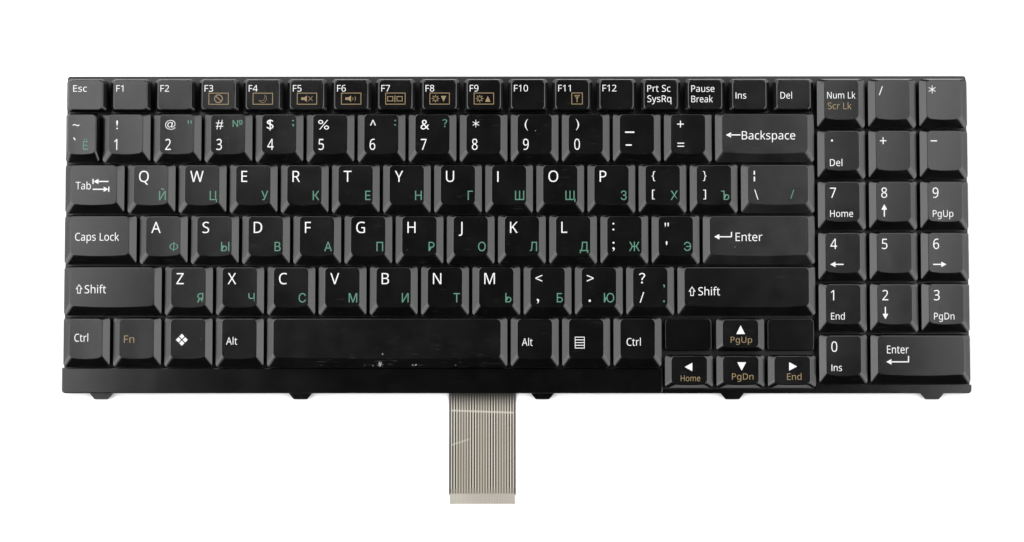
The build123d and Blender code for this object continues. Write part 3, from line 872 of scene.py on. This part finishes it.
@dataclass
class Legends:
    """All printed signs: which key carries which marks, and how they are laid on the key tops.

    Sizes are in millimetres, and the two trims, which thin the strokes, in shares of the text's size.
    """

    keys: KeyField
    finishes: Finishes
    lift: float = 0.02
    depth: float = 0.06
    frame_line: float = 0.25
    stroke_trim: float = 0.008
    line_trim: float = 0.003
    half_thickness: float = 0.1
    curve_steps: int = 3
    pad_shift: float = 0.8
    cast_from: float = 50.0
    marks: dict[str, list[Mark]] = field(default_factory=dict)

    def plan(self) -> None:
        """Fills in the marks of every key."""
        self.plan_letters()
        self.plan_digits()
        self.plan_signs()
        self.plan_words()
        self.plan_functions()
        self.plan_pad()

    def plan_letters(self) -> None:
        """The letter keys."""
        latin = "qwertyuiopasdfghjklzxcvbnm"
        other = "ЙЦУКЕНГШЩЗФЫВАПРОЛДЯЧСМИТЬ"
        for name, second in zip(latin, other):
            self.marks[name] = [Mark(name.upper(), 5.1, 3.3, 4.15, stretch=0.95), *cyrillic(second)]

    def plan_digits(self) -> None:
        """The digit row."""
        shifted = {
            "1": boxed("!", 5.9, 3.4, 0.65, 3.3), "2": boxed("@", 5.1, 3.3, 3.9, 3.6),
            "3": boxed("#", 5.0, 3.3, 2.7, 3.5), "4": boxed("$", 4.9, 3.1, 2.5, 4.1),
            "5": boxed("%", 5.0, 3.3, 4.1, 3.6), "6": boxed("^", 5.3, 3.3, 2.2, 2.1),
            "7": boxed("&", 5.1, 3.3, 3.2, 3.6), "8": boxed("＊", 5.4, 3.3, 2.5, 2.8),
            "9": boxed("(", 5.8, 3.1, 1.2, 4.1), "0": boxed(")", 5.8, 3.1, 1.2, 4.1),
        }
        second = {
            "2": green('"', -4.0, 3.5, 1.5, 1.3), "3": green("№", -4.1, 3.3, 3.7, 2.6),
            "4": green(";", -3.9, 3.3, 0.8, 2.6), "6": green(":", -4.0, 3.3, 0.7, 2.1),
            "7": green("？", -4.0, 3.1, 1.8, 2.9),
        }
        for name, sign in shifted.items():
            self.marks[name] = [sign, Mark(name, 5.2, 10.4, 4.1, stretch=0.78)]
            if name in second:
                self.marks[name].append(second[name])
        self.marks |= {
            "grave": [
                boxed("~", 3.4, 4.8, 2.5, 0.8), boxed("`", 3.5, 9.9, 1.1, 1.0),
                Mark("Ё", 7.3, 11.2, 3.2, ink=Ink.GREEN, stretch=0.9),
            ],
            "minus": [boxed("■", 5.1, 7.7, 3.4, 0.5), boxed("■", 5.3, 12.5, 2.2, 0.5)],
            "equals": [boxed("+", 5.4, 3.7, 2.5, 2.5), boxed("=", 5.5, 11.9, 2.5, 1.5)],
        }

    def plan_signs(self) -> None:
        """The keys with two signs and a green one."""
        pairs = {
            "left_bracket": (boxed("{", 5.4, 3.5, 1.3, 3.7), boxed("[", 5.5, 10.4, 1.0, 3.6), "Х"),
            "right_bracket": (boxed("}", 5.4, 3.5, 1.3, 3.7), boxed("]", 5.5, 10.4, 1.0, 3.6), "Ъ"),
            "semicolon": (boxed(":", 5.0, 3.7, 0.75, 2.8), boxed(";", 5.0, 10.8, 0.85, 3.4), "Ж"),
            "quote": (boxed('"', 5.4, 3.7, 1.5, 1.4), boxed("'", 5.8, 10.6, 0.55, 1.4), "Э"),
            "comma": (boxed("<", 5.0, 4.0, 2.5, 2.5), boxed(",", 5.5, 12.9, 0.85, 1.7), "Б"),
            "period": (boxed(">", 5.0, 4.0, 2.5, 2.5), boxed("■", 5.7, 13.2, 0.75, 0.75), "Ю"),
        }
        for name, (upper, lower, other) in pairs.items():
            self.marks[name] = [upper, lower, *cyrillic(other)]
        self.marks |= {
            "backslash": [
                boxed("¦", 5.2, 3.4, 0.5, 3.9), boxed("\\", 5.4, 10.4, 1.5, 3.7),
                green("/", 18.7, 10.4, 1.5, 3.4),
            ],
            "slash": [
                boxed("？", 5.3, 3.3, 2.3, 3.9), boxed("/", 5.5, 10.4, 1.7, 3.9),
                green(",", -4.1, 7.6, 0.7, 1.3), green("■", -4.2, 13.5, 0.6, 0.6),
            ],
        }

    def plan_words(self) -> None:
        """The keys that carry a word, and the arrows."""
        tab_arrows = [
            *arrow_left(11.4, 6.3, 5.6, 1.9),
            boxed("■", 11.0, 6.3, ARROW_LINE, 1.9), boxed("■", 16.9, 9.2, ARROW_LINE, 1.9),
            boxed("▶", 15.2, 9.2, 1.7, 1.9), boxed("■", 11.1, 9.95, 4.4, ARROW_LINE),
        ]
        self.marks |= {
            "tab": [Mark("Tab", 4.8, 7.4, 2.8, 5.6), *tab_arrows],
            "caps_lock": [Mark("Caps Lock", 4.8, 7.4, 2.9, 16.3)],
            "left_shift": [boxed("⇧", 5.2, 7.4, 2.6, 3.5), Mark("Shift", 8.6, 7.8, 3.0, 7.9)],
            "right_shift": [boxed("⇧", 4.6, 8.3, 2.6, 3.5), Mark("Shift", 8.2, 8.6, 3.0, 8.0)],
            "backspace": [*arrow_left(4.5, 8.0, 5.4), Mark("Backspace", 10.4, 7.6, 3.1, 19.8)],
            "enter": [*return_arrow(4.7, 7.9, 6.6, 2.0), Mark("Enter", 12.6, 7.4, 3.1, 9.9)],
            "left_control": [Mark("Ctrl", 5.0, 6.8, 2.9, 5.1)],
            "function": [Mark("Fn", 4.9, 7.4, 2.7, 3.8, Ink.GOLD)],
            "system": [boxed("❖", 5.1, 6.8, 4.4, 4.4)],
            "left_alt": [Mark("Alt", 4.7, 8.1, 2.7, 4.1)],
            "right_alt": [Mark("Alt", 4.75, 8.5, 2.7, 3.95)],
            "menu": [boxed("▤", 5.3, 7.9, 3.6, 4.3)],
            "right_control": [Mark("Ctrl", 5.4, 8.4, 2.8, 5.2)],
            "up": [boxed("▲", 7.9, 3.7, 3.2, 3.2), Mark("PgUp", 5.8, 7.9, 2.2, 7.9, Ink.GOLD)],
            "left": [boxed("◀", 7.8, 4.0, 2.8, 3.1), Mark("Home", 6.3, 8.6, 2.2, 7.2, Ink.GOLD)],
            "down": [boxed("▼", 8.2, 3.8, 3.2, 3.1), Mark("PgDn", 6.2, 7.9, 2.3, 7.9, Ink.GOLD)],
            "right": [boxed("▶", 8.3, 3.8, 2.9, 3.1), Mark("End", 7.5, 7.9, 2.4, 5.3, Ink.GOLD)],
        }

    def plan_functions(self) -> None:
        """The function row and its gold icons."""
        self.marks["escape"] = [Mark("Esc", 3.4, 3.0, 2.45, 5.1)]
        for number in range(1, 13):
            self.marks[f"f{number}"] = [Mark(f"F{number}", 3.0, 3.0, 2.45)]
        icons = {
            "f3": [gold("🛇", 6.6, 6.5, 3.2, 3.2)],
            "f4": [gold("🌙", 6.8, 6.6, 2.9, 3.0)],
            "f5": [*speaker(6.1), gold("✕", 8.7, 7.2, 1.7, 1.8)],
            "f6": [*speaker(6.1), gold(")", 8.5, 7.5, 0.55, 1.2), gold(")", 9.4, 7.1, 0.55, 2.0)],
            "f7": [
                gold("□", 5.2, 7.2, 2.2, 1.9), gold("■", 7.9, 6.9, 0.3, 2.5), gold("□", 8.7, 7.2, 2.2, 1.9),
            ],
            "f8": [gold("☼", 5.2, 6.6, 3.0, 3.0), gold("▼", 8.7, 7.1, 2.0, 2.2)],
            "f9": [gold("☼", 5.2, 6.6, 3.0, 3.0), gold("▲", 8.7, 7.1, 2.0, 2.2)],
        }
        for name, icon in icons.items():
            self.marks[name] += gold_box(icon)
        aerial = [gold("▽", 8.9, 6.8, 2.2, 1.7), gold("■", 9.85, 6.8, 0.3, 2.7)]
        self.marks["f11"] += gold_box(aerial, 7.9, 4.2)
        self.marks |= {
            "print_screen": [Mark("Prt Sc", 3.2, 3.1, 2.5, 8.6), Mark("SysRq", 3.2, 6.95, 2.5, 8.9)],
            "pause": [Mark("Pause", 3.1, 3.2, 2.45, 8.6), Mark("Break", 3.1, 7.1, 2.45, 8.0)],
            "insert": [Mark("Ins", 3.1, 5.7, 2.5, 3.95)],
            "delete": [Mark("Del", 3.3, 5.7, 2.5, 4.3)],
        }

    def plan_pad(self) -> None:
        """The number pad."""
        scroll = Mark("Scr Lk", 3.6, 9.7, 2.45, 8.8, Ink.GOLD)
        self.marks |= {
            "num_lock": [Mark("Num Lk", 3.4, 5.7, 2.45, 10.5), scroll],
            "pad_divide": [boxed("/", 3.6, 3.6, 1.5, 3.3)],
            "pad_multiply": [boxed("＊", 3.1, 3.3, 2.6, 3.0)],
            "pad_point": [boxed("■", 4.7, 4.5, 0.7, 0.7), Mark("Del", 4.2, 11.8, 2.6, 4.6)],
            "pad_plus": [boxed("+", 3.8, 3.7, 2.4, 2.5)],
            "pad_minus": [boxed("■", 3.6, 4.8, 2.4, 0.4)],
        }
        words = {"pad_7": "Home", "pad_9": "PgUp", "pad_1": "End", "pad_3": "PgDn", "pad_0": "Ins"}
        for digit in "0123456789":
            name = f"pad_{digit}"
            self.marks[name] = [Mark(digit, 4.1, 3.4, 3.8, stretch=0.88)]
            if name in words:
                self.marks[name].append(Mark(words[name], 4.1, 11.8, 2.5, stretch=0.9))
        self.marks["pad_8"] += [boxed("▲", 4.1, 9.6, 2.1, 2.0), boxed("■", 4.95, 11.2, ARROW_LINE, 3.0)]
        self.marks["pad_2"] += [boxed("▼", 4.1, 12.2, 2.1, 2.0), boxed("■", 4.95, 9.6, ARROW_LINE, 3.0)]
        self.marks["pad_4"] += arrow_left(4.0, 11.9, 4.9)
        self.marks["pad_6"] += [boxed("▶", 7.0, 11.9, 1.9, 2.0), boxed("■", 4.0, 12.7, 3.4, ARROW_LINE)]
        self.marks["pad_enter"] = [Mark("Enter", 5.6, 4.9, 2.9, 8.0), *return_arrow(5.3, 9.9, 8.4, 2.4)]
        for name, marks in self.marks.items():
            if name.startswith("pad_") or name == "num_lock":
                self.marks[name] = [replace(mark, left=mark.left + self.pad_shift) for mark in marks]

    def build(self) -> None:
        """Sets every sign, lays it on its key and joins the signs that ride together."""
        self.plan()
        signs = {name: [self.set_sign(mark) for mark in marks] for name, marks in self.marks.items()}
        every = [(sign, mark, name) for name in signs for sign, mark in zip(signs[name], self.marks[name])]
        texts = [sign for sign, _, _ in every if sign.type == "FONT"]
        select_only(texts)
        bpy.ops.object.convert(target="MESH")
        trees: dict[str, BVHTree] = {}
        together: dict[str, list[bpy.types.Object]] = {}
        for sign, mark, name in every:
            cell = self.keys.cells[name]
            if cell.node not in trees:
                mesh = frame["nodes"][cell.node].data
                faces = [tuple(polygon.vertices) for polygon in mesh.polygons]
                trees[cell.node] = BVHTree.FromPolygons([v.co for v in mesh.vertices], faces)
            self.lay_on(sign, mark, cell, trees[cell.node])
            together.setdefault(cell.node, []).append(sign)
        bodies = frame["record"]["behaviour"]["bodies"]
        carrier = {node: body for body, nodes in bodies.items() for node in nodes}
        for node, pieces in together.items():
            piece = join(pieces, f"{node}_print")
            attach(piece, carrier[node])
        log.info("legends: %d signs in %d pieces", len(every), len(together))

    def set_sign(self, mark: Mark) -> bpy.types.Object:
        """Sets one sign as text, or as a frame of four bars where the mark is an empty square.

        Args:
            mark: what is printed.

        Returns:
            A text or mesh object at the origin, with its ink.
        """
        deselect_all()
        if mark.text == "□":
            sign = self.set_frame(mark)
        else:
            bpy.ops.object.text_add()
            sign = bpy.context.object
            sign.data.body = sans(mark.text)
            sign.data.extrude = self.half_thickness
            sign.data.resolution_u = self.curve_steps
            if mark.text.isascii():
                sign.data.offset = -self.stroke_trim if mark.fit is Fit.BOX else -self.line_trim
        sign.data.materials.append(self.finishes.made[mark.ink.value])
        return sign

    def set_frame(self, mark: Mark) -> bpy.types.Object:
        """A flat rectangular frame of the mark's size, made from a plane by an inset.

        Args:
            mark: the frame's mark.

        Returns:
            The frame as a mesh, in millimetres.
        """
        bpy.ops.mesh.primitive_plane_add(size=1.0)
        sign = bpy.context.object
        sign.scale = (mark.width, mark.height, 1.0)
        bpy.ops.object.transform_apply(location=False, rotation=False, scale=True)
        bpy.ops.object.mode_set(mode="EDIT")
        bpy.ops.mesh.select_all(action="SELECT")
        bpy.ops.mesh.inset(thickness=self.frame_line, use_even_offset=True)
        bpy.ops.mesh.delete(type="FACE")
        bpy.ops.mesh.select_all(action="SELECT")
        bpy.ops.mesh.extrude_region_move(TRANSFORM_OT_translate={"value": (0, 0, 2 * self.half_thickness)})
        bpy.ops.mesh.select_all(action="SELECT")
        bpy.ops.transform.translate(value=(0, 0, -self.half_thickness))
        bpy.ops.mesh.normals_make_consistent(inside=False)
        bpy.ops.object.mode_set(mode="OBJECT")
        return sign

    def lay_on(self, sign: bpy.types.Object, mark: Mark, cell: Cell, top: BVHTree) -> None:
        """Sizes a sign, moves it to its place and lets it follow the key's dished top.

        Args:
            sign: the sign's mesh.
            mark: what it prints and where.
            cell: the key's cell.
            top: the key node's faces.
        """
        places = vertices_of(sign)
        low, high = places.min(0), places.max(0)
        size = high - low
        if mark.fit is Fit.BOX:
            across, along = mark.width / size[0], mark.height / size[1]
            base = high[1]
        else:
            capital = SANS_CAP_HEIGHT if mark.text.isascii() else CYRILLIC_CAP_HEIGHT
            along = mark.height / capital
            across = mark.width / size[0] if mark.width else along * mark.stretch
            base = capital
        start = cell.left + mark.left if mark.left >= 0 else cell.right + mark.left - size[0] * across
        x = (start + (places[:, 0] - low[0]) * across) * MM
        y = (cell.back - mark.top + (places[:, 1] - base) * along) * MM
        raised = np.where(places[:, 2] > 0, self.lift, -self.depth) * MM
        z = np.empty(len(places))
        for number, (px, py) in enumerate(zip(x, y)):
            hit = top.ray_cast(Vector((px, py, self.cast_from * MM)), Vector((0, 0, -1)))[0]
            z[number] = hit.z
        move_vertices(sign, np.column_stack([x, y, z + raised]))


@dataclass
class Mechanisms:
    """The rubber domes and scissor links, one piece under each moving key.

    The film's top is in millimetres, the weld distance in metres and the smooth angle in degrees.
    """

    keys: KeyField
    finishes: Finishes
    film_top: float = 0.8
    folded_share: float = 0.38
    weld: float = 1e-7
    smooth_angle: float = 35.0
    finish_of: dict[str, str] = field(
        default_factory=lambda: {
            "rubber_domes": "dome_silicone",
            "scissor_outer_links": "link_acetal",
            "scissor_inner_links": "link_acetal",
        }
    )

    def build(self) -> None:
        """Parts the CAD nodes by key."""
        names = list(self.keys.cells)
        centres = np.array([self.keys.cells[name].centre for name in names]) * MM
        under: dict[str, list[bpy.types.Object]] = {}
        for node, finish in self.finish_of.items():
            for part in self.loose_parts(node):
                self.finishes.dress(part, finish)
                places = vertices_of(part)
                middle = (places.min(0) + places.max(0))[:2] / 2
                nearest = names[int(np.argmin(np.linalg.norm(centres - middle, axis=1)))]
                owner = self.keys.cells[nearest].node
                under.setdefault(owner, []).append(part)
        for owner, parts in under.items():
            piece = join(parts, f"{owner}_switch")
            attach(piece, "base")
            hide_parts(*self.finish_of)
            if owner.startswith("key_"):
                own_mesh(piece)
        log.info("mechanisms: %d pieces", len(under))

    def loose_parts(self, node: str) -> list[bpy.types.Object]:
        """Copies a CAD node and parts the copy into its solids.

        Args:
            node: the node's name.

        Returns:
            One object for each solid.
        """
        source = frame["nodes"][node]
        copy = source.copy()
        copy.data = source.data.copy()
        copy.parent = None
        for key in list(copy.keys()):
            del copy[key]
        bpy.context.scene.collection.objects.link(copy)
        select_only([copy])
        bpy.ops.object.mode_set(mode="EDIT")
        bpy.ops.mesh.select_all(action="SELECT")
        bpy.ops.mesh.remove_doubles(threshold=self.weld)
        bpy.ops.mesh.separate(type="LOOSE")
        bpy.ops.object.mode_set(mode="OBJECT")
        parts = list(bpy.context.selected_objects)
        select_only(parts)
        bpy.ops.object.shade_smooth_by_angle(angle=radians(self.smooth_angle))
        return parts


@dataclass
class RibbonTail:
    """The printed lines on the membrane's tail. Sizes are in millimetres."""

    finishes: Finishes
    middle: float = -12.6
    lines: int = 25
    pitch: float = 1.0
    line_width: float = 0.56
    edge_width: float = 0.66
    contact_width: float = 0.72
    ink: float = 0.015
    front_edge: float = -59.2
    slope_from: float = -59.4
    slope_end: float = -66.1
    contacts_from: float = -96.6
    contact_gap: float = 0.1
    end: float = -100.2
    high: float = 0.7
    low: float = 0.2

    def build(self) -> None:
        """Prints the dark lines, and the pale contacts at their ends."""
        slope = (self.high - self.low) / (self.slope_from - self.slope_end)
        start_high = self.low + slope * (self.front_edge - self.slope_end)
        bends = [(self.front_edge, start_high), (self.slope_end, self.low), (self.contacts_from, self.low)]
        ends = [(self.contacts_from - self.contact_gap, self.low), (self.end, self.low)]
        edge_pitch = (self.lines - 1) * self.pitch
        rows = {
            "trace_print": ("tail_traces", self.lines - 2, self.pitch, self.line_width, bends),
            "edge_trace_print": ("tail_edge_traces", 2, edge_pitch, self.edge_width, bends),
            "contact_print": ("tail_contacts", self.lines - 1, self.pitch, self.contact_width, ends),
        }
        for finish, row in rows.items():
            piece = self.print_lines(*row)
            self.finishes.dress(piece, finish)
            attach(piece, "base")
        log.info("ribbon tail: %d lines", self.lines)

    def print_lines(
        self, name: str, count: int, pitch: float, width: float, bends: Sequence[tuple[float, float]]
    ) -> bpy.types.Object:
        """Extrudes one flat bar along the tail and repeats it across.

        Args:
            name: the piece's name.
            count: how many bars.
            pitch: the bars' spacing.
            width: a bar's width.
            bends: y and z of the tail's top where the bar starts, bends and ends.

        Returns:
            The bars as one piece.
        """
        deselect_all()
        bpy.ops.mesh.primitive_plane_add(size=1.0)
        bar = bpy.context.object
        bar.name = name
        y, z = bends[0]
        first = self.middle - (count - 1) * pitch / 2
        bar.scale = (width * MM, 1.0, self.ink * MM)
        bar.rotation_euler = (radians(90), 0, 0)
        bpy.ops.object.transform_apply(location=False, rotation=True, scale=True)
        places = vertices_of(bar)
        rise = np.where(places[:, 2] > 0, self.ink, 0.0)
        across = np.sign(places[:, 0]) * width / 2
        move_vertices(bar, np.column_stack([first + across, np.full(4, y), z + rise]) * MM)
        bpy.ops.object.mode_set(mode="EDIT")
        bpy.ops.mesh.select_all(action="SELECT")
        for (y0, z0), (y1, z1) in zip(bends, bends[1:]):
            move = (0, (y1 - y0) * MM, (z1 - z0) * MM)
            bpy.ops.mesh.extrude_region_move(TRANSFORM_OT_translate={"value": move})
        bpy.ops.mesh.select_all(action="SELECT")
        bpy.ops.mesh.normals_make_consistent(inside=False)
        bpy.ops.object.mode_set(mode="OBJECT")
        row = bar.modifiers.new("row", "ARRAY")
        row.count = count
        row.use_relative_offset = False
        row.use_constant_offset = True
        row.constant_offset_displace = (pitch * MM, 0, 0)
        bpy.ops.object.modifier_apply(modifier=row.name)
        return bar


@dataclass
class CadDressing:
    """The finishes of the CAD nodes that stay as they are."""

    finishes: Finishes
    finish_of: dict[str, str] = field(
        default_factory=lambda: {
            "base_plate": "plate_paint",
            "switch_membrane": "film_print",
            "front_frame": "frame_abs",
            "filler_plates": "frame_abs",
            "space_bar_wire": "wire_drawn",
            "key_space": "space_bar_abs",
            "key_backspace": "wide_cap_abs",
            "key_backslash": "wide_cap_abs",
            "key_enter": "wide_cap_abs",
        }
    )

    def build(self) -> None:
        """Gives each node its finish; those not named are keycaps."""
        for name, node in frame["nodes"].items():
            self.finishes.dress(node, self.finish_of.get(name, "keycap_abs"))


@dataclass(frozen=True)
class SoftLight:
    """A rectangular soft light that faces the keyboard: place and size in metres, power in watts."""

    name: str
    place: tuple[float, float, float]
    size: tuple[float, float]
    power: float

    def build(self) -> None:
        """Adds the light."""
        bpy.ops.object.light_add(type="AREA", location=self.place)
        light = bpy.context.object
        light.name = self.name
        light.data.shape = "RECTANGLE"
        light.data.size, light.data.size_y = self.size
        light.data.energy = self.power
        light.rotation_euler = (-Vector(self.place)).to_track_quat("-Z", "Y").to_euler()


@dataclass
class Studio:
    """The pale floor, the lights and the camera.

    Places are in metres, angles in degrees, and the lens and the sensor in millimetres.
    """

    floor_size: float = 6.0
    floor_drop: float = 0.00005
    floor_colours: tuple[tuple[float, float, float], ...] = ((0.9, 0.9, 0.895), (0.87, 0.87, 0.865))
    floor_roughness: float = 0.9
    world_colour: tuple[float, float, float] = (1.0, 0.99, 0.97)
    world_strength: float = 0.02
    camera_place: tuple[float, float, float] = (0.00145, -0.05125, 0.6983)
    camera_turn: tuple[float, float, float] = (3.07, 0.25, 0.0)
    focal_length: float = 65.77
    sensor_width: float = 36.0
    clip_start: float = 0.01
    lights: tuple[SoftLight, ...] = (
        SoftLight("left_high", (-0.85, 0.25, 1.2), (2.4, 1.0), 34.0),
        SoftLight("right_high", (0.86, 0.25, 1.23), (2.4, 1.0), 30.0),
        SoftLight("left_low", (-1.38, 0.1, 0.58), (2.4, 0.7), 17.0),
        SoftLight("right_low", (1.38, 0.1, 0.58), (2.4, 0.7), 17.0),
    )

    def build(self) -> None:
        """Sets up the floor, the lights, the camera and the picture's tone."""
        self.build_floor()
        for light in self.lights:
            light.build()
        self.build_camera()
        world = bpy.context.scene.world or bpy.data.worlds.new("studio")
        bpy.context.scene.world = world
        world.use_nodes = True
        tone = {"Color": opaque(self.world_colour), "Strength": self.world_strength}
        NodeTree(world.node_tree).feed(world.node_tree.nodes["Background"], tone)
        bpy.context.scene.view_settings.view_transform = "Standard"

    def build_floor(self) -> None:
        """A wide plain floor under the keyboard."""
        deselect_all()
        bpy.ops.mesh.primitive_plane_add(size=self.floor_size, location=(0, 0, -self.floor_drop))
        floor = bpy.context.object
        floor.name = "floor"
        made, tree, shader, place = new_material("pale_floor")
        faint = tree.add("TexNoise", {"Vector": place, "Scale": 3.0})
        pale, deep = self.floor_colours
        colour = tree.mix(faint.outputs[0], opaque(pale), opaque(deep))
        tree.feed(shader, {"Base Color": colour, "Roughness": self.floor_roughness})
        floor.data.materials.append(made)

    def build_camera(self) -> None:
        """The camera above the keyboard, a little in front of its middle."""
        bpy.ops.object.camera_add(location=self.camera_place)
        camera = bpy.context.object
        camera.rotation_euler = [radians(angle) for angle in self.camera_turn]
        camera.data.sensor_width = self.sensor_width
        camera.data.lens = self.focal_length
        camera.data.clip_start = self.clip_start
        bpy.context.scene.camera = camera


def main() -> None:
    """Builds the sub-assemblies in order."""
    logging.basicConfig(level=logging.INFO, format="%(name)s: %(message)s")
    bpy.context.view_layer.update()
    finishes = Finishes()
    finishes.build()
    CadDressing(finishes).build()
    keys = KeyField()
    keys.build()
    Mechanisms(keys, finishes).build()
    RibbonTail(finishes).build()
    Legends(keys, finishes).build()
    Studio().build()


if __name__ == "__main__":
    main()
